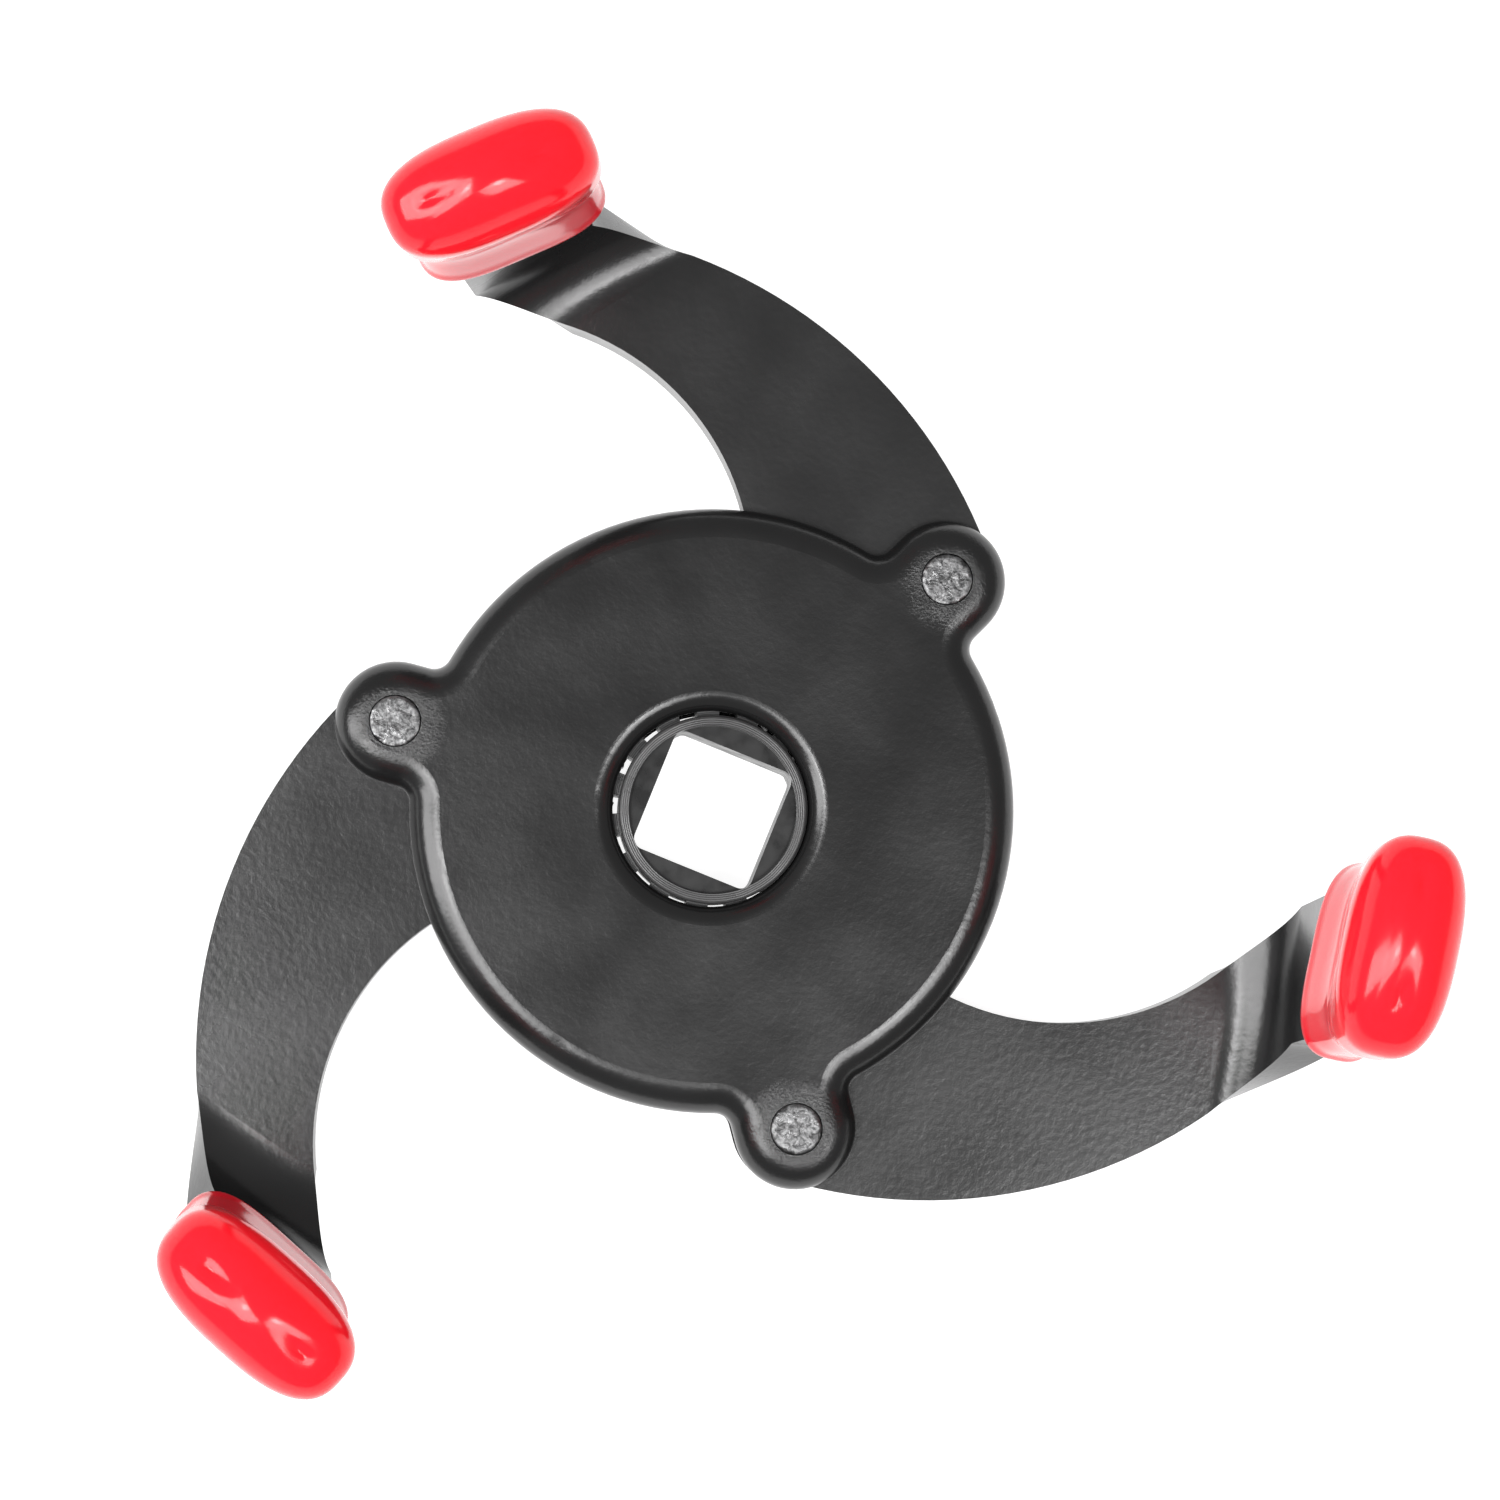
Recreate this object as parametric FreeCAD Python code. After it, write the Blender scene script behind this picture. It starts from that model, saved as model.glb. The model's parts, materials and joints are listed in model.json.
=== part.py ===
import FreeCAD, Part
import math
import os

# Three-jaw oil filter wrench, jaws up. Millimetres.
# Origin: on the drive axis, at the outer face of the back cover, on which the tool rests.
# +Z points along the drive axis towards the jaws. X and Y run along the flats of the square hole.

# Hub of the drive gear, as wide as the square hole's corners and a ring round them
drive_square = 12.95
drive_square_corner_radius = 1.2
hub_ring_width = 1.04
counterbore_radius = drive_square / math.sqrt(2) - drive_square_corner_radius * (math.sqrt(2) - 1)
counterbore_depth = 1.0
hub_radius = counterbore_radius + hub_ring_width
hub_recess = 1.0
hub_edge_chamfer = 0.25
gear_side_clearance = 0.25

# Pinion and sector teeth, as large as they have to be for the sectors' tips to pass the hub
pinion_teeth = 15
sector_full_teeth = 30
pressure_angle = 20.0
hub_tip_clearance = 0.2
tooth_backlash = 0.25
tooth_tip_trim = 0.15
tooth_module = (hub_radius + hub_tip_clearance - tooth_tip_trim) / (pinion_teeth / 2 - 1)
tooth_root_depth = 1.25 * tooth_module
sector_teeth_closing = 4
sector_teeth_opening = 2

# Pivots
jaw_count = 3
first_pivot_angle = 66.7
pivot_circle_radius = tooth_module * (pinion_teeth + sector_full_teeth) / 2

# Rivets
rivet_shoulder_radius = 3.5
rivet_pivot_clearance = 0.06
rivet_neck_radius = 2.65
rivet_neck_clearance = 0.03
rivet_crown = 0.15

# Pressed covers. Each ear's cavity takes a rivet's shoulder.
cover_height = 3.6
cover_sheet = 2.2
cover_disc_setback = 2.6
cover_radius = pivot_circle_radius - cover_disc_setback
cover_rim_land = 0.4
cover_rim_rounding = cover_height - cover_rim_land
cover_inner_rounding = 0.5
shoulder_side_gap = 0.1
ear_radius = rivet_shoulder_radius + shoulder_side_gap + cover_inner_rounding + cover_sheet
ear_root_fillet = 1.8
hub_hole_lip_land = 0.2
hub_hole_lip_rounding = cover_sheet - hub_hole_lip_land
hub_hole_clearance = 0.35
hub_hole_shift = -0.27

# Flat arm, whose round edges grow with its reach from the pivot to the finger
arm_reach = 55.6
arm_thickness = 5.0
arm_side_clearance = 0.15
arm_eye_setback = 0.9
arm_eye_radius = ear_radius - arm_eye_setback
outer_edge_radius = 0.9335 * arm_reach
outer_edge_centre_angle = 148.2
inner_edge_radius = 0.491 * arm_reach
inner_edge_centre_distance = 0.849 * arm_reach
inner_edge_centre_angle = 129.1
arm_lead_angles = [5.7, 0.0, 0.0]

# Finger bent up from the arm
finger_width = 14.0
finger_side_step = -1.6
bend_axis_angle = -19.0
bend_inner_radius = 7.0
bend_turn = 89.5
bend_sections = 9
bend_narrowing_power = 1.3
finger_side_lean = 4.3
finger_tip_corner_radius = 4.5
overall_height = 60.8

# Dipped sleeve on the finger
sleeve_length = 27.0
sleeve_cap = 3.0
sleeve_tip_width = 21.0
sleeve_tip_depth = 10.6
sleeve_rim_width = 19.4
sleeve_rim_depth = 9.0
sleeve_corner_share = 0.92
sleeve_tip_rounding = 4.0
sleeve_turn = -7.8

# Heights worked out from the stack of back cover, arms and front cover
arm_bottom = cover_height + arm_side_clearance
arm_top = arm_bottom + arm_thickness
front_rim_z = arm_top + arm_side_clearance
body_height = front_rim_z + cover_height
back_inner_z = cover_sheet
front_inner_z = body_height - cover_sheet

z_axis = FreeCAD.Vector(0, 0, 1)
origin = FreeCAD.Vector(0, 0, 0)


def polar(radius, degrees, z=0.0):
    angle = math.radians(degrees)
    return FreeCAD.Vector(radius * math.cos(angle), radius * math.sin(angle), z)


def line(start, end):
    return Part.LineSegment(start, end).toShape()


def arc(start, middle, end):
    return Part.Arc(start, middle, end).toShape()


def arc_about(centre, radius, start_degrees, end_degrees):
    middle_degrees = (start_degrees + end_degrees) / 2
    points = [centre + polar(radius, degrees) for degrees in (start_degrees, middle_degrees, end_degrees)]
    return arc(*points)


def plate(edges, bottom, height):
    face = Part.Face(Part.Wire(Part.sortEdges(edges)[0]))
    solid = face.extrude(FreeCAD.Vector(0, 0, height))
    solid.translate(FreeCAD.Vector(0, 0, bottom))
    return solid


def pivot_angle(index):
    return first_pivot_angle + index * 360.0 / jaw_count


def place_on_pivot(shape, index):
    # The arm's own frame has its origin on the pivot and +X pointing away from the drive axis.
    placed = shape.copy()
    placed.translate(FreeCAD.Vector(pivot_circle_radius, 0, 0))
    placed.rotate(origin, z_axis, pivot_angle(index))
    return placed


# Involute teeth

def involute(degrees):
    return math.tan(math.radians(degrees)) - math.radians(degrees)


def tooth_half_angle(teeth, radius):
    # Half the angle that a tooth takes up at this radius. Below the base circle the flank is radial.
    pitch_radius = tooth_module * teeth / 2
    base_radius = pitch_radius * math.cos(math.radians(pressure_angle))
    half_thickness = (math.pi * tooth_module - tooth_backlash) / 4
    flank_angle = math.degrees(math.acos(base_radius / max(radius, base_radius)))
    narrowing = involute(flank_angle) - involute(pressure_angle)
    return math.degrees(half_thickness / pitch_radius - narrowing)


def tooth_radii(teeth):
    pitch_radius = tooth_module * teeth / 2
    root = pitch_radius - tooth_root_depth
    base = pitch_radius * math.cos(math.radians(pressure_angle))
    tip = pitch_radius + tooth_module - tooth_tip_trim
    return root, base, tip


def tooth_edges(teeth, centre_angle):
    root, base, tip = tooth_radii(teeth)
    middle = (base + tip) / 2
    edges = []
    for side in (-1, 1):
        points = [
            polar(radius, centre_angle + side * tooth_half_angle(teeth, radius))
            for radius in (root, base, middle, tip)
        ]
        edges.append(line(points[0], points[1]))
        edges.append(arc(points[1], points[2], points[3]))
    tip_half_angle = tooth_half_angle(teeth, tip)
    edges.append(arc_about(origin, tip, centre_angle - tip_half_angle, centre_angle + tip_half_angle))
    return edges


def root_edge(teeth, centre_angle):
    # The bottom of the gap that follows the tooth at centre_angle.
    root = tooth_radii(teeth)[0]
    half_angle = tooth_half_angle(teeth, root)
    pitch_angle = 360.0 / teeth
    return arc_about(origin, root, centre_angle + half_angle, centre_angle + pitch_angle - half_angle)


# Covers

def cover_outline(inset):
    # Disc with three round ears. The ears' straight sides run into the disc through concave fillets.
    disc_radius = cover_radius - inset
    half_width = ear_radius - inset
    fillet = ear_root_fillet + inset
    fillet_y = half_width + fillet
    fillet_x = math.sqrt((disc_radius + fillet) ** 2 - fillet_y ** 2)
    fillet_direction = math.degrees(math.atan2(fillet_y, fillet_x))
    ear_edges = [arc_about(polar(pivot_circle_radius, 0), half_width, -90, 90)]
    for side in (-1, 1):
        centre = FreeCAD.Vector(fillet_x, side * fillet_y, 0)
        line_end = FreeCAD.Vector(fillet_x, side * half_width, 0)
        ear_edges.append(line(line_end, FreeCAD.Vector(pivot_circle_radius, side * half_width, 0)))
        ear_edges.append(arc_about(centre, fillet, side * 270, side * (180 + fillet_direction)))
    edges = []
    for index in range(jaw_count):
        for edge in ear_edges:
            turned = edge.copy()
            turned.rotate(origin, z_axis, pivot_angle(index))
            edges.append(turned)
        start = pivot_angle(index) + fillet_direction
        end = pivot_angle(index + 1) - fillet_direction
        edges.append(arc_about(origin, disc_radius, start, end))
    return edges


def outline_edges_at(shape, z):
    return [edge for edge in shape.Edges
            if abs(edge.BoundBox.ZMin - z) < 1e-4 and abs(edge.BoundBox.ZMax - z) < 1e-4]


def back_cover():
    pan = plate(cover_outline(0), 0, cover_height)
    pan = pan.makeFillet(cover_rim_rounding, outline_edges_at(pan, 0))
    cavity = plate(cover_outline(cover_sheet), cover_sheet, cover_height)
    cavity = cavity.makeFillet(cover_inner_rounding, outline_edges_at(cavity, cover_sheet))
    pan = pan.cut(cavity)
    hole_radius = hub_radius + hub_hole_clearance
    # The teeth, not the holes, carry the gear, and they hold it a little to one side in its holes.
    pan = pan.cut(Part.makeCylinder(hole_radius, cover_height, FreeCAD.Vector(hub_hole_shift, 0, 0)))
    lip = [edge for edge in outline_edges_at(pan, 0) if abs(edge.Length - 2 * math.pi * hole_radius) < 1e-3]
    pan = pan.makeFillet(hub_hole_lip_rounding, lip)
    for index in range(jaw_count):
        centre = polar(pivot_circle_radius, pivot_angle(index))
        pan = pan.cut(Part.makeCylinder(rivet_neck_radius + rivet_neck_clearance, cover_height, centre))
    return pan


def front_cover():
    # The same pressing, mirrored across the middle plane of the arms.
    return back_cover().mirror(FreeCAD.Vector(0, 0, body_height / 2), z_axis)


# Drive gear

def drive_gear():
    edges = []
    pitch_angle = 360.0 / pinion_teeth
    for index in range(pinion_teeth):
        angle = first_pivot_angle + index * pitch_angle
        edges += tooth_edges(pinion_teeth, angle)
        edges.append(root_edge(pinion_teeth, angle))
    face_bottom = back_inner_z + gear_side_clearance
    face_top = front_inner_z - gear_side_clearance
    teeth = plate(edges, face_bottom, face_top - face_bottom)
    hub_height = body_height - 2 * hub_recess
    hub = Part.makeCylinder(hub_radius, hub_height, FreeCAD.Vector(0, 0, hub_recess))
    hub_ends = outline_edges_at(hub, hub_recess) + outline_edges_at(hub, hub_recess + hub_height)
    hub = hub.makeChamfer(hub_edge_chamfer, hub_ends)
    square = Part.makeBox(drive_square, drive_square, body_height,
                          FreeCAD.Vector(-drive_square / 2, -drive_square / 2, 0))
    upright = [edge for edge in square.Edges if edge.BoundBox.ZLength > body_height / 2]
    square = square.makeFillet(drive_square_corner_radius, upright)
    gear = teeth.fuse(hub).cut(square)
    for bottom in (hub_recess, body_height - hub_recess - counterbore_depth):
        gear = gear.cut(Part.makeCylinder(counterbore_radius, counterbore_depth, FreeCAD.Vector(0, 0, bottom)))
    return gear.removeSplitter()


# Rivets

def pivot_rivet(index):
    shoulder = Part.makeCylinder(rivet_shoulder_radius, front_inner_z - back_inner_z,
                                 FreeCAD.Vector(0, 0, back_inner_z))
    neck = Part.makeCylinder(rivet_neck_radius, body_height + rivet_crown)
    rivet = shoulder.fuse(neck).removeSplitter()
    return place_on_pivot(rivet, index)


# Arms

def bend_directions():
    # Along the bend's axis, and across it away from the drive axis.
    return polar(1, bend_axis_angle), polar(1, bend_axis_angle + 90)


def bend_axis_point():
    across = bend_directions()[1]
    finger_base = FreeCAD.Vector(finger_side_step, arm_reach, arm_top + bend_inner_radius)
    return finger_base - across * (bend_inner_radius + arm_thickness / 2)


def finger_direction():
    along, across = bend_directions()
    turn = math.radians(bend_turn)
    upwards = z_axis * math.sin(turn) + across * math.cos(turn)
    direction = upwards - along * math.tan(math.radians(finger_side_lean))
    return direction.normalize()


def bend_end_centre():
    across = bend_directions()[1]
    turn = math.radians(bend_turn)
    outward = across * math.sin(turn) - z_axis * math.cos(turn)
    return bend_axis_point() + outward * (bend_inner_radius + arm_thickness / 2)


def finger_centre(z):
    # The middle of the finger's section at this height.
    start = bend_end_centre()
    direction = finger_direction()
    return start + direction * ((z - start.z) / direction.z)


def outer_edge_centre():
    return polar(outer_edge_radius - arm_eye_radius, outer_edge_centre_angle)


def inner_edge_centre():
    return polar(inner_edge_centre_distance, inner_edge_centre_angle)


def bend_line_crossing(centre, radius):
    # Where a round edge of the arm meets the line on which the bend starts, as a length along that line.
    along = bend_directions()[0]
    offset = bend_axis_point() - centre
    offset.z = 0
    half = offset.dot(along)
    return math.sqrt(half ** 2 - offset.dot(offset) + radius ** 2) - half


def bend_start_point(centre, radius):
    point = bend_axis_point() + bend_directions()[0] * bend_line_crossing(centre, radius)
    point.z = 0
    return point


def bend_section(turn, low, high):
    along, across = bend_directions()
    angle = math.radians(turn)
    outward = across * math.sin(angle) - z_axis * math.cos(angle)
    corners = []
    for width, depth in ((low, 0), (high, 0), (high, arm_thickness), (low, arm_thickness)):
        corners.append(bend_axis_point() + along * width + outward * (bend_inner_radius + depth))
    return Part.makePolygon(corners + [corners[0]])


def bend_and_finger():
    # The blade is wider than the finger and comes in beside it, so the bend narrows and steps sideways.
    low_start = bend_line_crossing(inner_edge_centre(), inner_edge_radius)
    high_start = bend_line_crossing(outer_edge_centre(), outer_edge_radius)
    sections = []
    for step in range(bend_sections):
        share = step / (bend_sections - 1)
        remaining = (1 - share) ** bend_narrowing_power
        low = -finger_width / 2 + (low_start + finger_width / 2) * remaining
        high = finger_width / 2 + (high_start - finger_width / 2) * remaining
        sections.append(bend_section(share * bend_turn, low, high))
    bend = Part.makeLoft(sections, True, False)
    finger_top = overall_height - sleeve_cap
    finger_path = finger_centre(finger_top) - bend_end_centre()
    finger = Part.Face(sections[-1]).extrude(finger_path)
    tip_edges = [edge for edge in finger.Edges
                 if edge.BoundBox.ZMin > finger_top - arm_thickness and abs(edge.Length - arm_thickness) < 1e-3]
    finger = finger.makeFillet(finger_tip_corner_radius, tip_edges)
    return bend, finger


def blade(lead):
    # The flat of the arm: eye, convex outer edge, start of the bend, concave inner edge and gear sector.
    outer_centre = outer_edge_centre()
    inner_centre = inner_edge_centre()
    outer_end = bend_start_point(outer_centre, outer_edge_radius)
    inner_start = bend_start_point(inner_centre, inner_edge_radius)
    outer_start_angle = outer_edge_centre_angle - 180
    outer_end_angle = math.degrees(math.atan2(outer_end.y - outer_centre.y, outer_end.x - outer_centre.x))
    inner_start_angle = math.degrees(math.atan2(inner_start.y - inner_centre.y, inner_start.x - inner_centre.x))

    pitch_angle = 360.0 / sector_full_teeth
    root = tooth_radii(sector_full_teeth)[0]
    root_half_angle = tooth_half_angle(sector_full_teeth, root)
    first_tooth = 180 - (sector_teeth_closing - 0.5) * pitch_angle
    last_tooth = 180 + (sector_teeth_opening - 0.5) * pitch_angle
    teeth_start = first_tooth - root_half_angle
    teeth_end = last_tooth + root_half_angle

    # The inner edge ends on the ray through the first tooth's root.
    ray = polar(1, teeth_start - lead)
    reach = inner_centre.dot(ray)
    inner_end_radius = reach - math.sqrt(reach ** 2 - inner_edge_centre_distance ** 2 + inner_edge_radius ** 2)
    inner_end = ray * inner_end_radius
    inner_end_angle = math.degrees(math.atan2(inner_end.y - inner_centre.y, inner_end.x - inner_centre.x))

    edges = [
        arc_about(outer_centre, outer_edge_radius, outer_start_angle, outer_end_angle),
        line(outer_end, inner_start),
        arc_about(inner_centre, inner_edge_radius, inner_start_angle, inner_end_angle),
    ]
    for edge in edges:
        edge.rotate(origin, z_axis, lead)
    edges.append(line(polar(inner_end_radius, teeth_start), polar(root, teeth_start)))
    tooth_count = sector_teeth_closing + sector_teeth_opening
    for index in range(tooth_count):
        angle = first_tooth + index * pitch_angle
        edges += tooth_edges(sector_full_teeth, angle)
        if index < tooth_count - 1:
            edges.append(root_edge(sector_full_teeth, angle))
    tangent_angle = teeth_end + math.degrees(math.acos(arm_eye_radius / root))
    edges.append(line(polar(root, teeth_end), polar(arm_eye_radius, tangent_angle)))
    edges.append(arc_about(origin, arm_eye_radius, tangent_angle, outer_start_angle + 360 + lead))
    return plate(edges, arm_bottom, arm_thickness)


def jaw_arm(index):
    lead = arm_lead_angles[index]
    upright = [shape.rotated(origin, z_axis, lead) for shape in bend_and_finger()]
    arm = blade(lead).fuse(upright)
    arm = arm.cut(Part.makeCylinder(rivet_shoulder_radius + rivet_pivot_clearance, body_height))
    return place_on_pivot(arm.removeSplitter(), index)


# Sleeves

def rounded_section(width, depth, z):
    # Rounded rectangle across the finger at this height.
    along = polar(1, bend_axis_angle + sleeve_turn)
    across = polar(1, bend_axis_angle + sleeve_turn + 90)
    centre = finger_centre(z)
    corner_radius = sleeve_corner_share * depth / 2
    half_width = width / 2 - corner_radius
    half_depth = depth / 2 - corner_radius
    edges = []
    corners = ((1, -1, -90), (1, 1, 0), (-1, 1, 90), (-1, -1, 180))
    for side, face, start in corners:
        corner = centre + along * (side * half_width) + across * (face * half_depth)
        turned_start = start + bend_axis_angle + sleeve_turn
        edges.append(arc_about(corner, corner_radius, turned_start, turned_start + 90))
    joined = []
    for edge, following in zip(edges, edges[1:] + edges[:1]):
        joined.append(edge)
        joined.append(line(edge.valueAt(edge.LastParameter), following.valueAt(following.FirstParameter)))
    return Part.Wire(joined)


def grip_sleeve(index):
    widest_z = overall_height - 2 * sleeve_tip_rounding
    sections = [
        rounded_section(sleeve_rim_width, sleeve_rim_depth, overall_height - sleeve_length),
        rounded_section(sleeve_tip_width, sleeve_tip_depth, widest_z),
        rounded_section(sleeve_tip_width, sleeve_tip_depth, overall_height),
    ]
    outer = Part.makeLoft(sections, True, True)
    outer = outer.makeFillet(sleeve_tip_rounding, outline_edges_at(outer, overall_height))
    sleeve = outer.cut(bend_and_finger()[1])
    return place_on_pivot(sleeve.rotated(origin, z_axis, arm_lead_angles[index]), index)


nodes = {"back_cover": back_cover(), "drive_gear": drive_gear(), "front_cover": front_cover()}
for jaw_index in range(jaw_count):
    number = jaw_index + 1
    nodes[f"jaw_arm_{number}"] = jaw_arm(jaw_index)
    nodes[f"pivot_rivet_{number}"] = pivot_rivet(jaw_index)
    nodes[f"grip_sleeve_{number}"] = grip_sleeve(jaw_index)

os.makedirs("parts", exist_ok=True)
for name, shape in nodes.items():
    shape.exportStep(f"parts/{name}.step")
    print(name, shape.isValid(), len(shape.Solids), round(shape.Volume, 1))
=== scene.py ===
import json
import math

import bmesh
import bpy
from mathutils import Matrix, Vector, noise


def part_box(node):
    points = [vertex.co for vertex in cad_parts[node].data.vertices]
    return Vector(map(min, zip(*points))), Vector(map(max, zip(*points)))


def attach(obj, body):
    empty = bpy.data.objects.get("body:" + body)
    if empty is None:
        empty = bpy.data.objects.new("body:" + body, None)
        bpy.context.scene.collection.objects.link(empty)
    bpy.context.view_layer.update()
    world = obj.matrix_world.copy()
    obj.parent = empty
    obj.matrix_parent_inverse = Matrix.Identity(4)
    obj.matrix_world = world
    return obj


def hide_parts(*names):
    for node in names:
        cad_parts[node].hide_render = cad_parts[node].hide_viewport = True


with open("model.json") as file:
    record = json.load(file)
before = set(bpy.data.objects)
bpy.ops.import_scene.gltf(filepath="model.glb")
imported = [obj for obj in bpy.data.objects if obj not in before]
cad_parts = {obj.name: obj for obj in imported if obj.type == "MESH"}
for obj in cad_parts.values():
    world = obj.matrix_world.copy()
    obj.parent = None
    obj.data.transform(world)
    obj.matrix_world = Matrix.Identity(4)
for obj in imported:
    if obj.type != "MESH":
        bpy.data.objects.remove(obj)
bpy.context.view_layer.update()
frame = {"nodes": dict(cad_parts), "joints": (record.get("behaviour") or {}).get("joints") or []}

mm = 0.001


# Pressed covers.
# Two like pans of 2.2 mm steel sheet, one mirrored over the other, with three ears for the rivets.
# They are pressed cold, tumbled and coated with semi-gloss black baked enamel, which is thin on the ears.

def new_material(name):
    material = bpy.data.materials.new(name)
    material.use_nodes = True
    return material, material.node_tree.nodes, material.node_tree.links


def noise_texture(nodes, links, scale, detail=3.0, roughness=0.5, distortion=0.0):
    coordinates = nodes.new("ShaderNodeTexCoord")
    texture = nodes.new("ShaderNodeTexNoise")
    texture.inputs["Scale"].default_value = scale
    texture.inputs["Detail"].default_value = detail
    texture.inputs["Roughness"].default_value = roughness
    texture.inputs["Distortion"].default_value = distortion
    links.new(coordinates.outputs["Object"], texture.inputs["Vector"])
    return texture.outputs["Fac"]


def spread(nodes, links, value, low, high, from_low=0.35, from_high=0.65):
    map_range = nodes.new("ShaderNodeMapRange")
    map_range.inputs["From Min"].default_value = from_low
    map_range.inputs["From Max"].default_value = from_high
    map_range.inputs["To Min"].default_value = low
    map_range.inputs["To Max"].default_value = high
    links.new(value, map_range.inputs["Value"])
    return map_range.outputs["Result"]


def bump(nodes, links, height, distance, below=None):
    node = nodes.new("ShaderNodeBump")
    node.inputs["Distance"].default_value = distance
    links.new(height, node.inputs["Height"])
    if below is not None:
        links.new(below, node.inputs["Normal"])
    return node.outputs["Normal"]


def tone_mix(nodes, links, factor, first, second):
    mix = nodes.new("ShaderNodeMix")
    mix.data_type = "RGBA"
    mix.inputs[6].default_value = (first, first, 1.02 * first, 1.0)
    mix.inputs[7].default_value = (second, second, 1.01 * second, 1.0)
    links.new(factor, mix.inputs[0])
    return mix.outputs[2]


def near_rivets(nodes, links, inner, outer):
    # 1 up to the inner radius round each rivet, falling to 0 at the outer one.
    coordinates = nodes.new("ShaderNodeTexCoord")
    flat = nodes.new("ShaderNodeVectorMath")
    flat.operation = "MULTIPLY"
    flat.inputs[1].default_value = (1.0, 1.0, 0.0)
    links.new(coordinates.outputs["Object"], flat.inputs[0])
    nearest = None
    for joint in frame["joints"]:
        if joint["name"] == "drive_turn":
            continue
        distance = nodes.new("ShaderNodeVectorMath")
        distance.operation = "DISTANCE"
        distance.inputs[1].default_value = (joint["pos_m"][0], joint["pos_m"][1], 0.0)
        links.new(flat.outputs["Vector"], distance.inputs[0])
        value = distance.outputs["Value"]
        if nearest is not None:
            smaller = nodes.new("ShaderNodeMath")
            smaller.operation = "MINIMUM"
            links.new(nearest, smaller.inputs[0])
            links.new(value, smaller.inputs[1])
            value = smaller.outputs["Value"]
        nearest = value
    return spread(nodes, links, nearest, 1.0, 0.0, inner, outer)


def times(nodes, links, first, second):
    product = nodes.new("ShaderNodeMath")
    product.operation = "MULTIPLY"
    for socket, value in zip(product.inputs, (first, second)):
        if isinstance(value, float):
            socket.default_value = value
        else:
            links.new(value, socket)
    return product.outputs["Value"]


def black_enamel(name, grey, roughness_low, roughness_high, pressed=False):
    # The enamel has a faint orange peel. Pressing and riveting leave marks on the ears.
    material, nodes, links = new_material(name)
    shader = nodes["Principled BSDF"]
    shader.inputs["IOR"].default_value = 1.5
    cloud = noise_texture(nodes, links, 90.0, 4.0)
    links.new(spread(nodes, links, cloud, roughness_low, roughness_high), shader.inputs["Roughness"])
    tone = tone_mix(nodes, links, noise_texture(nodes, links, 160.0, 5.0), 0.75 * grey, 1.25 * grey)
    links.new(tone, shader.inputs["Base Color"])
    normal = bump(nodes, links, noise_texture(nodes, links, 1400.0, 2.0), 0.02 * mm)
    normal = bump(nodes, links, noise_texture(nodes, links, 6500.0, 2.0), 0.005 * mm, normal)
    if pressed:
        scale_marks = noise_texture(nodes, links, 3600.0, 4.0, 0.6, 0.4)
        patches = spread(nodes, links, noise_texture(nodes, links, 260.0, 2.0), 0.4, 1.0)
        on_ears = near_rivets(nodes, links, 3.2 * mm, 5.8 * mm)
        marks = times(nodes, links, times(nodes, links, on_ears, patches), scale_marks)
        normal = bump(nodes, links, marks, 0.1 * mm, normal)
    links.new(normal, shader.inputs["Normal"])
    return material


cover_enamel = black_enamel("cover_enamel", 0.007, 0.2, 0.27, pressed=True)
for name in ("back_cover", "front_cover"):
    cover = frame["nodes"][name]
    cover.data.materials.clear()
    cover.data.materials.append(cover_enamel)


# Drive gear.
# A steel pinion turned in one with its hub, blackened, with the square hole for the ratchet through it.
# The hub's ends are faced on a lathe, which leaves fine rings round the drive axis.

counterbore_radius = 8.66 * mm


def blackened_steel():
    material, nodes, links = new_material("blackened_steel")
    shader = nodes["Principled BSDF"]
    shader.inputs["Metallic"].default_value = 0.35
    links.new(spread(nodes, links, noise_texture(nodes, links, 500.0), 0.26, 0.4), shader.inputs["Roughness"])
    coordinates = nodes.new("ShaderNodeTexCoord")
    rings = nodes.new("ShaderNodeTexWave")
    rings.wave_type = "RINGS"
    rings.rings_direction = "Z"
    rings.inputs["Scale"].default_value = 1500.0
    rings.inputs["Distortion"].default_value = 1.5
    rings.inputs["Detail"].default_value = 3.0
    rings.inputs["Detail Scale"].default_value = 0.4
    links.new(coordinates.outputs["Object"], rings.inputs["Vector"])
    flat = nodes.new("ShaderNodeVectorMath")
    flat.operation = "MULTIPLY"
    flat.inputs[1].default_value = (1.0, 1.0, 0.0)
    links.new(coordinates.outputs["Object"], flat.inputs[0])
    radius = nodes.new("ShaderNodeVectorMath")
    radius.operation = "LENGTH"
    links.new(flat.outputs["Vector"], radius.inputs[0])
    on_ring = spread(nodes, links, radius.outputs["Value"], 0.0, 1.0,
                     counterbore_radius - 0.05 * mm, counterbore_radius + 0.02 * mm)
    # The ring's colour is lighter on its grooves' crests, and the sunk floor is kept black as painted shade
    # in the recess.
    ring_tone_over_shaded_floor = times(nodes, links, on_ring, spread(nodes, links, rings.outputs["Fac"], 0.35, 1.0, 0.2, 0.9))
    links.new(tone_mix(nodes, links, ring_tone_over_shaded_floor, 0.008, 0.07), shader.inputs["Base Color"])
    links.new(bump(nodes, links, times(nodes, links, rings.outputs["Fac"], on_ring), 0.02 * mm),
              shader.inputs["Normal"])
    return material


gear = frame["nodes"]["drive_gear"]
gear.data.materials.clear()
gear.data.materials.append(blackened_steel())


# Pivot rivets.
# Plain steel rivets, peened over by hammer blows that leave flats and scratches on the ends.
# The blows knock the enamel off, so the ends are bare and grey.

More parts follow.
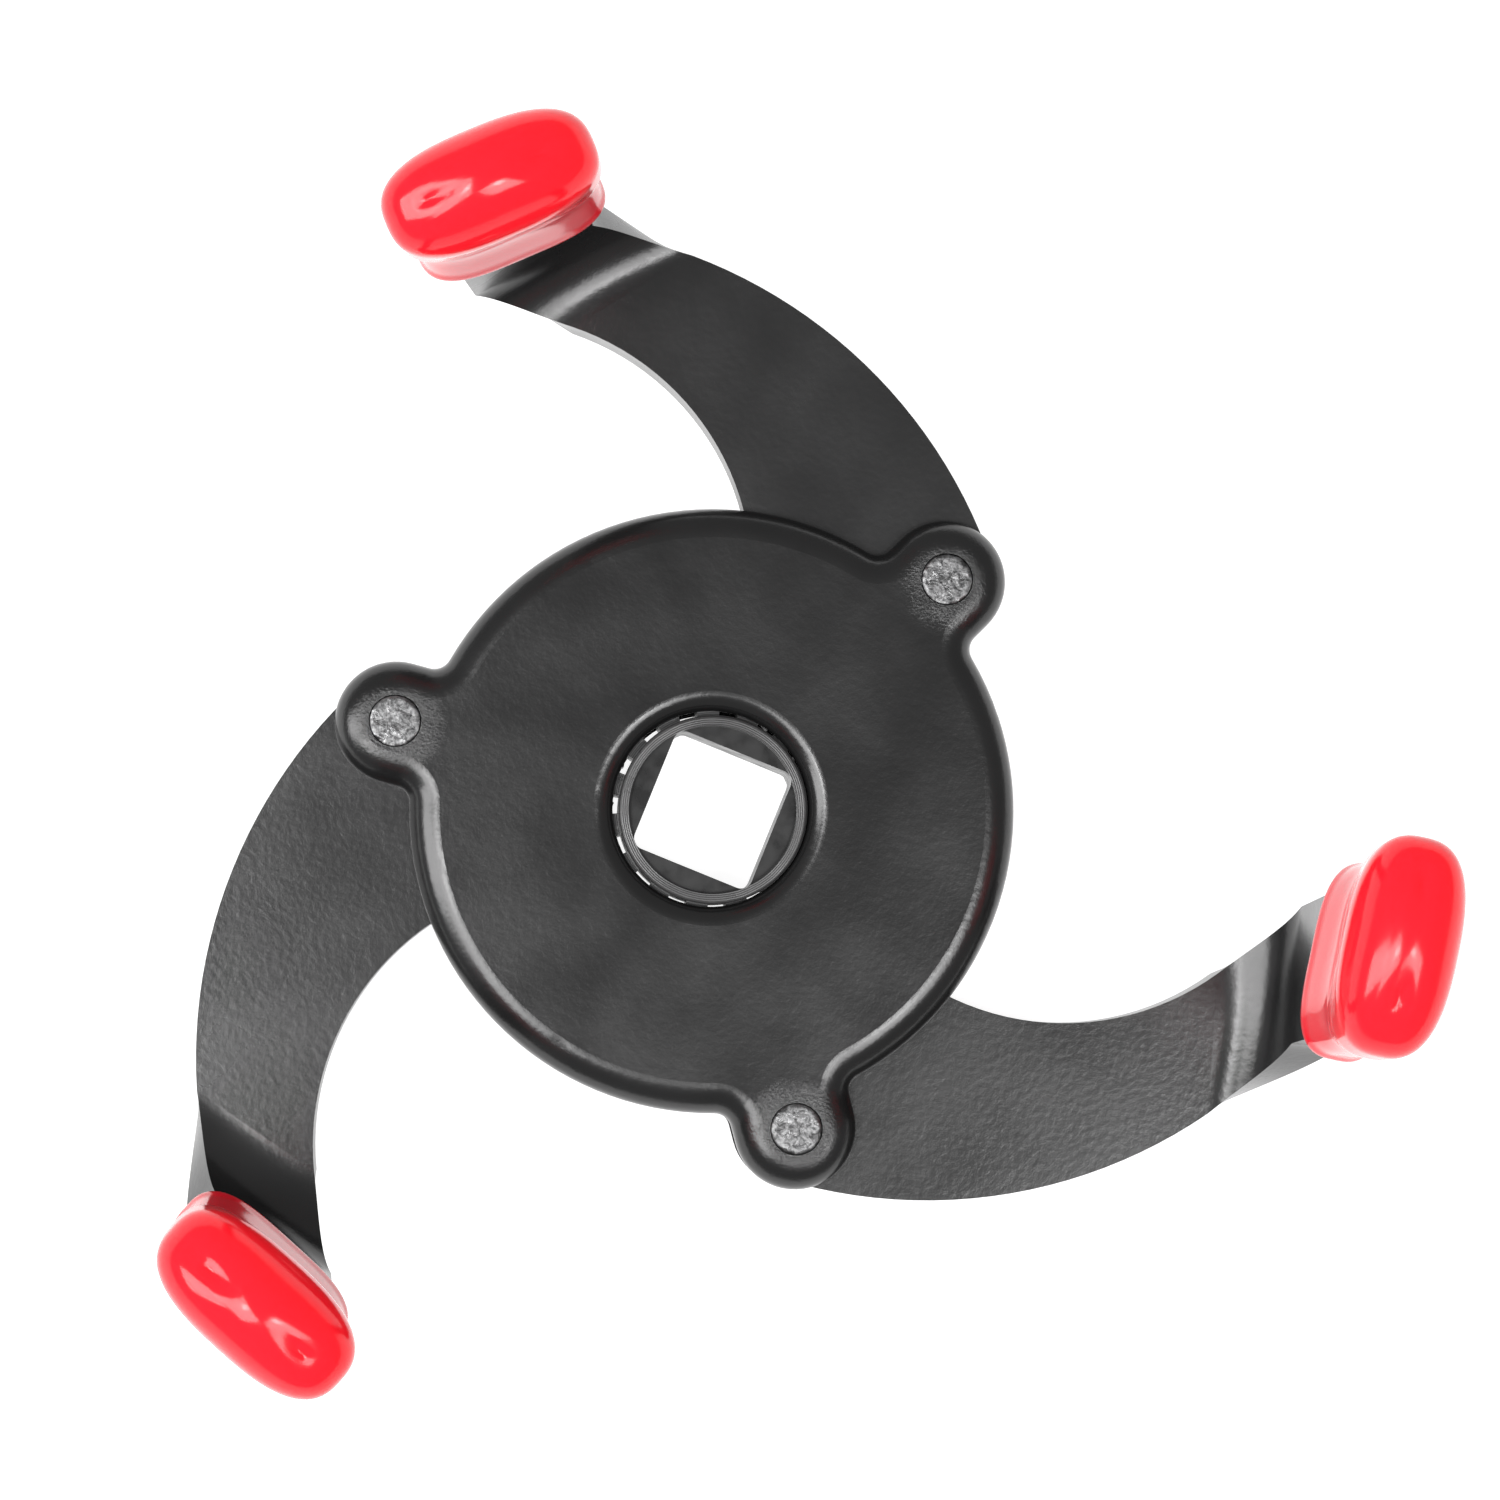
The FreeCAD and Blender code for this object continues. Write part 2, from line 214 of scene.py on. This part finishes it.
rivet_neck_radius = 2.65 * mm
rivet_shoulder_radius = 3.5 * mm
rivet_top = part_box("pivot_rivet_1")[1].z
rivet_round_over = 0.35 * mm
rivet_steps = 72
shoulder_low = 2.2 * mm
shoulder_high = 10.3 * mm
broad_blow = 1.3 * mm
small_blow = 0.45 * mm
deepest_blow = 0.14 * mm


def peened_steel():
    material, nodes, links = new_material("peened_steel")
    shader = nodes["Principled BSDF"]
    shader.inputs["Metallic"].default_value = 0.9
    dulling = noise_texture(nodes, links, 900.0, 5.0)
    links.new(spread(nodes, links, dulling, 0.22, 0.5), shader.inputs["Roughness"])
    blotches = spread(nodes, links, noise_texture(nodes, links, 1500.0, 6.0, 0.7, 0.8), 0.0, 1.0, 0.38, 0.6)
    links.new(tone_mix(nodes, links, blotches, 0.035, 0.19), shader.inputs["Base Color"])
    normal = bump(nodes, links, noise_texture(nodes, links, 2200.0, 5.0, 0.6, 0.6), 0.09 * mm)
    coordinates = nodes.new("ShaderNodeTexCoord")
    stretched = nodes.new("ShaderNodeMapping")
    stretched.inputs["Rotation"].default_value = (0.0, 0.0, 0.9)
    stretched.inputs["Scale"].default_value = (4500.0, 500.0, 1000.0)
    links.new(coordinates.outputs["Object"], stretched.inputs["Vector"])
    scratches = nodes.new("ShaderNodeTexNoise")
    scratches.inputs["Scale"].default_value = 1.0
    links.new(stretched.outputs["Vector"], scratches.inputs["Vector"])
    links.new(bump(nodes, links, scratches.outputs["Fac"], 0.03 * mm, normal), shader.inputs["Normal"])
    return material


def peened_rivet(number, centre):
    # Half of the rivet's section is spun round its axis, then the blows flatten its two ends unevenly.
    name = f"peened_rivet_{number}"
    end_radius = rivet_neck_radius - rivet_round_over
    section = [
        (0.0, 0.0), (end_radius, 0.0), (rivet_neck_radius, rivet_round_over),
        (rivet_neck_radius, shoulder_low), (rivet_shoulder_radius, shoulder_low),
        (rivet_shoulder_radius, shoulder_high), (rivet_neck_radius, shoulder_high),
        (rivet_neck_radius, rivet_top - rivet_round_over),
        (rivet_neck_radius - 0.3 * rivet_round_over, rivet_top - 0.3 * rivet_round_over),
        (end_radius, rivet_top), (0.0, rivet_top),
    ]
    bm = bmesh.new()
    verts = [bm.verts.new((radius, 0.0, height)) for radius, height in section]
    edges = [bm.edges.new(pair) for pair in zip(verts, verts[1:])]
    flat_ends = [edges[0], edges[-1]]
    bmesh.ops.subdivide_edges(bm, edges=flat_ends, cuts=14)
    bmesh.ops.spin(bm, geom=bm.verts[:] + bm.edges[:], cent=(0, 0, 0), axis=(0, 0, 1), angle=2 * math.pi,
                   steps=rivet_steps, use_merge=True)
    bmesh.ops.remove_doubles(bm, verts=bm.verts, dist=0.001 * mm)
    bmesh.ops.recalc_face_normals(bm, faces=bm.faces)
    for vert in bm.verts:
        if shoulder_low < vert.co.z < shoulder_high:
            continue
        inwards = 1.0 if vert.co.z < shoulder_low else -1.0
        if abs(vert.co.z - (0.0 if inwards > 0 else rivet_top)) > rivet_round_over:
            continue
        place = Vector((vert.co.x, vert.co.y, 3.0 * mm * number + vert.co.z))
        blow = abs(noise.noise(place / broad_blow)) + 0.35 * abs(noise.noise(place / small_blow))
        vert.co.z += inwards * min(deepest_blow, 0.12 * mm * blow)
    bmesh.ops.translate(bm, verts=bm.verts, vec=(centre[0], centre[1], 0.0))
    for face in bm.faces:
        face.smooth = True
    mesh = bpy.data.meshes.new(name)
    bm.to_mesh(mesh)
    bm.free()
    mesh.set_sharp_from_angle(angle=math.radians(40))
    piece = bpy.data.objects.new(name, mesh)
    bpy.context.scene.collection.objects.link(piece)
    return piece


rivet_steel = peened_steel()
pivots = {joint["name"]: Vector(joint["pos_m"]) for joint in frame["joints"]}
for number in (1, 2, 3):
    rivet = peened_rivet(number, pivots[f"jaw_{number}_swing"])
    rivet.data.materials.append(rivet_steel)
    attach(rivet, "housing")
    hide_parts(f"pivot_rivet_{number}")


# Jaw arms.
# Each arm is blanked from 5 mm steel plate with its gear sector, then its finger is bent up.
# Blanking leaves rolled edges, and the enamel lies in an even coat over all of it.

arm_top = 8.75 * mm
arm_thickness = 5.0 * mm
bend_inner_radius = 7.0 * mm
bend_turn = math.radians(89.5)
bend_steps = 28
bend_strips = 12
bend_crown = 0.35 * mm
bend_taper_power = 1.3
finger_foot = Vector((-1.6 * mm, 55.6 * mm, arm_top + bend_inner_radius))
finger_turn = math.radians(-19.0)
finger_lean = math.tan(math.radians(4.3))
finger_outward = 0.0087
finger_half_width = 7.0 * mm
finger_top = 57.8 * mm
finger_rows = 6
finger_corner = 4.5 * mm
rolled_edge = 0.28 * mm
crisp_angle = math.radians(20)
broad_area = (10.0 * mm) ** 2
along_bend = Vector((math.cos(finger_turn), math.sin(finger_turn), 0.0))
across_bend = Vector((-along_bend.y, along_bend.x, 0.0))
bend_axis = finger_foot - across_bend * (bend_inner_radius + arm_thickness / 2)
arm_leads = {1: math.radians(5.7), 2: 0.0, 3: 0.0}


def arm_placing(number):
    pivot = pivots[f"jaw_{number}_swing"]
    turn = math.atan2(pivot.y, pivot.x) + arm_leads[number]
    return Matrix.Translation((pivot.x, pivot.y, 0.0)) @ Matrix.Rotation(turn, 4, "Z")


def cut_end_faces(bm):
    # The faces that the cut at the bend line leaves, which look along the finger's outward side.
    return [face for face in bm.faces if face.normal.dot(across_bend) > 0.99
            and abs((face.calc_center_median() - bend_axis).dot(across_bend)) < 0.01 * mm]


def pulled_out(bm, faces):
    # Pulls the faces off as a new ring, and gives the faces and the corners that move on.
    region = bmesh.ops.extrude_face_region(bm, geom=faces)
    bmesh.ops.delete(bm, geom=faces, context="FACES_ONLY")
    new_faces = [item for item in region["geom"] if isinstance(item, bmesh.types.BMFace)]
    new_verts = [item for item in region["geom"] if isinstance(item, bmesh.types.BMVert)]
    return new_faces, new_verts


def shape_bend(verts, low_start, high_start):
    # The bend narrows from the blade's width to the finger's, and crowns across its width as bent plate does.
    for vert in verts:
        out = vert.co - bend_axis
        share = min(1.0, math.atan2(out.dot(across_bend), -out.z) / bend_turn)
        remaining = (1.0 - share) ** bend_taper_power
        width = out.dot(along_bend)
        place = (width - low_start) / (high_start - low_start)
        low = -finger_half_width + (low_start + finger_half_width) * remaining
        high = finger_half_width + (high_start - finger_half_width) * remaining
        vert.co += along_bend * (low + (high - low) * place - width)
        crown = (1.0 - (2.0 * place - 1.0) ** 2) * math.sin(math.pi * share)
        radial = (out - along_bend * width).normalized()
        vert.co += radial * (bend_crown * crown)


def bent_arm(number):
    # The flat blade is kept from the frame. Its end is turned up round the bend and drawn up as the finger.
    name = f"bent_arm_{number}"
    mesh = frame["nodes"][f"jaw_arm_{number}"].data.copy()
    mesh.name = name
    mesh.materials.clear()
    placing = arm_placing(number)
    bm = bmesh.new()
    bm.from_mesh(mesh)
    bmesh.ops.transform(bm, matrix=placing.inverted(), verts=bm.verts)
    bmesh.ops.remove_doubles(bm, verts=bm.verts, dist=0.002 * mm)
    geometry = bm.verts[:] + bm.edges[:] + bm.faces[:]
    bmesh.ops.bisect_plane(bm, geom=geometry, plane_co=bend_axis, plane_no=across_bend, dist=0.001 * mm,
                           clear_outer=True)
    bmesh.ops.dissolve_limit(bm, angle_limit=math.radians(0.5), verts=bm.verts, edges=bm.edges)
    bmesh.ops.holes_fill(bm, edges=[edge for edge in bm.edges if edge.is_boundary], sides=0)
    end_face = max(cut_end_faces(bm), key=lambda face: face.calc_area())
    level = [edge for edge in end_face.edges if abs(edge.verts[0].co.z - edge.verts[1].co.z) < 0.01 * mm]
    bmesh.ops.subdivide_edges(bm, edges=level, cuts=bend_strips - 1, use_grid_fill=True)
    moving_faces = cut_end_faces(bm)
    start_widths = [(vert.co - bend_axis).dot(along_bend) for face in moving_faces for vert in face.verts]
    blade_verts = set(bm.verts)
    step_turn = Matrix.Rotation(bend_turn / bend_steps, 3, along_bend)
    for step in range(bend_steps):
        moving_faces, moving = pulled_out(bm, moving_faces)
        bmesh.ops.rotate(bm, verts=moving, cent=bend_axis, matrix=step_turn)
    shape_bend([vert for vert in bm.verts if vert not in blade_verts], min(start_widths), max(start_widths))
    rise = (finger_top - finger_foot.z) / finger_rows
    drift = across_bend * (finger_outward * rise) - along_bend * (finger_lean * rise)
    for step in range(finger_rows):
        moving_faces, moving = pulled_out(bm, moving_faces)
        bmesh.ops.translate(bm, verts=moving, vec=Vector((0.0, 0.0, rise)) + drift)
    for vert in moving:
        vert.co.z = finger_top
    bmesh.ops.dissolve_faces(bm, faces=moving_faces)
    bmesh.ops.delete(bm, geom=[edge for edge in bm.edges if edge.is_wire], context="EDGES")
    tips = [edge for edge in bm.edges if min(vert.co.z for vert in edge.verts) > finger_top - 0.01 * mm
            and abs((edge.verts[0].co - edge.verts[1].co).dot(across_bend)) > 0.9 * arm_thickness]
    bmesh.ops.bevel(bm, geom=tips, offset=finger_corner, segments=8, profile=0.5, affect="EDGES", material=-1,
                    clamp_overlap=True)
    bmesh.ops.recalc_face_normals(bm, faces=bm.faces)
    corners = [edge for edge in bm.edges if len(edge.link_faces) == 2
               and edge.calc_face_angle(0.0) > math.radians(50) and edge.calc_length() > 0.05 * mm]
    bmesh.ops.bevel(bm, geom=corners, offset=rolled_edge, segments=2, profile=0.5, affect="EDGES",
                    material=-1, clamp_overlap=True)
    bmesh.ops.transform(bm, matrix=placing, verts=bm.verts)
    for face in bm.faces:
        face.smooth = True
    # The blade's two broad faces stay flat up to their edges, and every turn over the crisp angle is sharp.
    for edge in bm.edges:
        broad = max(face.calc_area() for face in edge.link_faces) > broad_area
        edge.smooth = not broad and edge.calc_face_angle(0.0) < crisp_angle
    bm.to_mesh(mesh)
    bm.free()
    kept_normals = mesh.attributes.get("custom_normal")
    if kept_normals is not None:
        mesh.attributes.remove(kept_normals)
    piece = bpy.data.objects.new(name, mesh)
    bpy.context.scene.collection.objects.link(piece)
    return piece


arm_enamel = black_enamel("arm_enamel", 0.011, 0.21, 0.28)
for number in (1, 2, 3):
    arm = bent_arm(number)
    arm.data.materials.append(arm_enamel)
    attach(arm, f"jaw_{number}")
    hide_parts(f"jaw_arm_{number}")


# Dipped sleeves.
# Soft red vinyl, dip-moulded on the finger: the hot finger goes into the liquid, and a coat sets on it.
# The liquid runs down and gathers at the tip, so the tip is fat and the wall creases below it.

sleeve_twist = math.radians(-7.8)
sleeve_tip_z = 60.8 * mm
sleeve_rim_z = 33.8 * mm
sleeve_half_width = 9.45 * mm
sleeve_half_depth = 4.2 * mm
sleeve_squareness = 2.7
tip_rounding = 6.2 * mm
tip_drop = 1.5 * mm
tip_half_width = 10.4 * mm
socket_half_width = 7.03 * mm
socket_half_depth = 2.53 * mm
socket_top = 57.85 * mm
socket_squareness = 14.0
lip_height = 0.45 * mm
lip_rows = 6
body_foot = 0.5 * mm
body_rows = 44
tip_rows = 14
points_round = 96
# Each crease has its place up the wall as a share, its depth in millimetres and its slant.
creases = ((0.47, 0.22, 0.02), (0.56, 0.3, -0.03), (0.64, 0.16, 0.035))
crease_width = 0.018


def sleeve_centre(height):
    rise = height - finger_foot.z
    centre = finger_foot + across_bend * (finger_outward * rise) - along_bend * (finger_lean * rise)
    centre.z = height
    return centre


def smooth_step(value):
    value = min(1.0, max(0.0, value))
    return value * value * (3.0 - 2.0 * value)


def round_section(angle, half_width, half_depth, squareness):
    # A circle pulled out towards a rectangle: squareness 2 is an ellipse, more is squarer.
    c = math.cos(angle)
    s = math.sin(angle)
    x = half_width * math.copysign(abs(c) ** (2.0 / squareness), c)
    y = half_depth * math.copysign(abs(s) ** (2.0 / squareness), s)
    return x, y


def outer_point(angle, share):
    # Share runs from 0 at the rim to 1 where the tip's rounding starts. Negative y is the gripping side.
    swell = smooth_step((share - 0.42) / 0.4)
    bead = math.exp(-((share / 0.05) ** 2))
    half_width = sleeve_half_width + (1.0 * swell + 0.3 * bead) * mm
    half_depth = sleeve_half_depth + (1.15 * swell + 0.25 * bead) * mm
    x, y = round_section(angle, half_width, half_depth, sleeve_squareness)
    reach = x / half_width
    hollow = (1.0 - reach * reach) ** 2 * (1.0 - smooth_step((share - 0.75) / 0.25))
    if y < 0:
        y += (0.35 + 0.55 * swell) * mm * hollow - 0.6 * mm * (1.0 - smooth_step(share / 0.4))
    else:
        y += 0.1 * mm * hollow
    return x, y


def crease_depth(x, share):
    depth_in_mm = 0.0
    for line, depth, slant in creases:
        offset = share - line - slant * x / (9.0 * mm)
        depth_in_mm += depth * math.exp(-((offset / crease_width) ** 2))
    return depth_in_mm * mm * smooth_step(1.15 - abs(x) / (8.5 * mm))


def sleeve_rows():
    # Rings of points: from the socket's closed end down to the rim, round its lip, and up the outside.
    body_turn = Matrix.Rotation(finger_turn + sleeve_twist, 4, "Z")
    finger_rotation = Matrix.Rotation(finger_turn, 4, "Z")
    angles = [2.0 * math.pi * i / points_round for i in range(points_round)]
    rows = []
    socket_rings = ((socket_top, 0.5, 0.0), (socket_top, 1.0, 1.0), (46.0 * mm, 1.0, 1.0),
                    (sleeve_rim_z + 0.8 * mm, 1.0, 1.0), (sleeve_rim_z + 0.3 * mm, 1.04, 1.04))
    for height, wide, deep in socket_rings:
        row = []
        for angle in angles:
            x, y = round_section(angle, socket_half_width, socket_half_depth * deep, socket_squareness)
            row.append(sleeve_centre(height) + finger_rotation @ Vector((x * wide, y, 0.0)))
        rows.append(row)
    for step in range(1, lip_rows + 1):
        turn = math.pi * step / (lip_rows + 1)
        row = []
        for angle in angles:
            x, y = round_section(angle, socket_half_width, socket_half_depth, socket_squareness)
            inner = finger_rotation @ Vector((x, y, 0.0))
            outer = body_turn @ Vector((*outer_point(angle, 0.0), 0.0))
            point = inner.lerp(outer, 0.5 - 0.5 * math.cos(turn)) + sleeve_centre(sleeve_rim_z)
            point.z = sleeve_rim_z + lip_height * (1.0 - math.sin(turn))
            row.append(point)
        rows.append(row)
    body_height = sleeve_tip_z - tip_rounding - sleeve_rim_z - body_foot
    for step in range(body_rows + 1):
        share = step / body_rows
        height = sleeve_rim_z + body_foot + body_height * share
        row = []
        for angle in angles:
            x, y = outer_point(angle, share)
            if y < 0:
                y += crease_depth(x, share)
            row.append(sleeve_centre(height) + body_turn @ Vector((x, y, 0.0)))
        rows.append(row)
    for step in range(1, tip_rows + 1):
        turn = 0.5 * math.pi * step / tip_rows
        height = sleeve_tip_z - tip_rounding * (1.0 - math.sin(turn))
        width_left = 0.5 + 0.5 * math.cos(turn)
        row = []
        for angle in angles:
            x, y = outer_point(angle, 1.0)
            point = sleeve_centre(height) + body_turn @ Vector((x * width_left, y * math.cos(turn), 0.0))
            point.z -= tip_drop * math.sin(turn) * (x / tip_half_width) ** 2
            row.append(point)
        rows.append(row)
    return rows


def build_sleeve(number):
    name = f"dipped_sleeve_{number}"
    placing = arm_placing(number)
    bm = bmesh.new()
    loops = [[bm.verts.new(placing @ point) for point in row] for row in sleeve_rows()]
    for lower, upper in zip(loops, loops[1:]):
        for i in range(points_round):
            j = (i + 1) % points_round
            bm.faces.new((lower[i], lower[j], upper[j], upper[i]))
    bmesh.ops.remove_doubles(bm, verts=bm.verts, dist=0.005 * mm)
    bmesh.ops.holes_fill(bm, edges=bm.edges, sides=0)
    bmesh.ops.recalc_face_normals(bm, faces=bm.faces)
    for face in bm.faces:
        face.smooth = True
    mesh = bpy.data.meshes.new(name)
    bm.to_mesh(mesh)
    bm.free()
    piece = bpy.data.objects.new(name, mesh)
    bpy.context.scene.collection.objects.link(piece)
    return piece


# Heights over which the thin coat's darker colour and the painted shade give way to the full red.
shaded_thin_coat_z = 45.0 * mm
unshaded_full_coat_z = 55.0 * mm


def red_vinyl():
    material, nodes, links = new_material("red_vinyl")
    shader = nodes["Principled BSDF"]
    # The colour is darker lower down and full and bright at the tip. Part of this is the thinner coat over
    # the black steel below, and part is painted shade on the lower wall.
    coordinates = nodes.new("ShaderNodeTexCoord")
    height = nodes.new("ShaderNodeSeparateXYZ")
    links.new(coordinates.outputs["Object"], height.inputs["Vector"])
    coat_and_painted_shade = spread(nodes, links, height.outputs["Z"], 0.0, 1.0, shaded_thin_coat_z, unshaded_full_coat_z)
    tint = nodes.new("ShaderNodeMix")
    tint.data_type = "RGBA"
    tint.inputs[6].default_value = (0.62, 0.003, 0.014, 1.0)
    tint.inputs[7].default_value = (0.88, 0.010, 0.020, 1.0)
    links.new(coat_and_painted_shade, tint.inputs[0])
    links.new(tint.outputs[2], shader.inputs["Base Color"])
    shader.inputs["IOR"].default_value = 1.36
    shader.inputs["Subsurface Weight"].default_value = 0.35
    shader.inputs["Subsurface Radius"].default_value = (1.0, 0.25, 0.2)
    shader.inputs["Subsurface Scale"].default_value = 1.5 * mm
    links.new(spread(nodes, links, noise_texture(nodes, links, 120.0), 0.1, 0.16), shader.inputs["Roughness"])
    waves = bump(nodes, links, noise_texture(nodes, links, 160.0, 1.0), 0.06 * mm)
    links.new(waves, shader.inputs["Normal"])
    return material


vinyl = red_vinyl()
for number in (1, 2, 3):
    sleeve = build_sleeve(number)
    sleeve.data.materials.append(vinyl)
    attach(sleeve, f"jaw_{number}")
    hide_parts(f"grip_sleeve_{number}")


# Table, light and camera.
# The tool lies on its back cover on a lit white table, in a pale room.
# Soft boxes stand to its left and lower right, each with a small bright lamp, and one more far to the left.

frame_turn = math.radians(22.5)
table_mesh = bpy.data.meshes.new("table")
bm = bmesh.new()
bmesh.ops.create_grid(bm, x_segments=1, y_segments=1, size=3.0)
bm.to_mesh(table_mesh)
bm.free()
table = bpy.data.objects.new("table", table_mesh)
table.location.z = -0.2 * mm
bpy.context.scene.collection.objects.link(table)
table_material, nodes, links = new_material("table_white")
shader = nodes["Principled BSDF"]
shader.inputs["Base Color"].default_value = (0.3, 0.3, 0.3, 1.0)
shader.inputs["Roughness"].default_value = 0.6
shader.inputs["Emission Color"].default_value = (1.0, 1.0, 1.0, 1.0)
shader.inputs["Emission Strength"].default_value = 0.92
table.data.materials.append(table_material)

world = bpy.data.worlds.new("studio")
world.use_nodes = True
world.node_tree.nodes["Background"].inputs["Color"].default_value = (1.0, 1.0, 1.0, 1.0)
world.node_tree.nodes["Background"].inputs["Strength"].default_value = 0.32
bpy.context.scene.world = world


def turned(x, y, z):
    return Matrix.Rotation(frame_turn, 3, "Z") @ Vector((x, y, z))


def soft_box(name, place, size, brightness):
    light = bpy.data.lights.new(name, "AREA")
    light.shape = "RECTANGLE"
    light.size = size[0]
    light.size_y = size[1]
    light.energy = brightness * size[0] * size[1] * math.pi
    lamp = bpy.data.objects.new(name, light)
    lamp.location = turned(*place)
    lamp.rotation_mode = "QUATERNION"
    lamp.rotation_quaternion = (-lamp.location).to_track_quat("-Z", "Y")
    bpy.context.scene.collection.objects.link(lamp)


soft_box("soft_box_left", (-0.42, -0.16, 1.0), (0.58, 0.5), 9.5)
soft_box("soft_box_right", (0.34, -0.34, 1.0), (0.44, 0.44), 9.0)
soft_box("side_box_left", (-1.2, -0.1, 0.95), (0.7, 0.8), 9.0)
soft_box("lamp_left", (-0.3, -0.06, 1.0), (0.12, 0.12), 22.0)
soft_box("lamp_right", (0.26, -0.2, 1.0), (0.12, 0.12), 22.0)

camera_data = bpy.data.cameras.new("camera")
camera_data.sensor_width = 36.0
camera_data.lens = 104.63
camera_data.clip_start = 0.01
camera = bpy.data.objects.new("camera", camera_data)
camera.location = turned(-17.03 * mm, -15.8 * mm, 458.0 * mm)
aim = turned(3.85 * mm, 6.12 * mm, 11.0 * mm)
forward = (aim - camera.location).normalized()
roll = math.radians(0.38)
up = turned(math.sin(roll), math.cos(roll), 0.0)
right = forward.cross(up).normalized()
up = right.cross(forward)
camera.rotation_mode = "QUATERNION"
camera.rotation_quaternion = Matrix((right, up, -forward)).transposed().to_quaternion()
bpy.context.scene.collection.objects.link(camera)
bpy.context.scene.camera = camera
bpy.context.scene.view_settings.view_transform = "Standard"
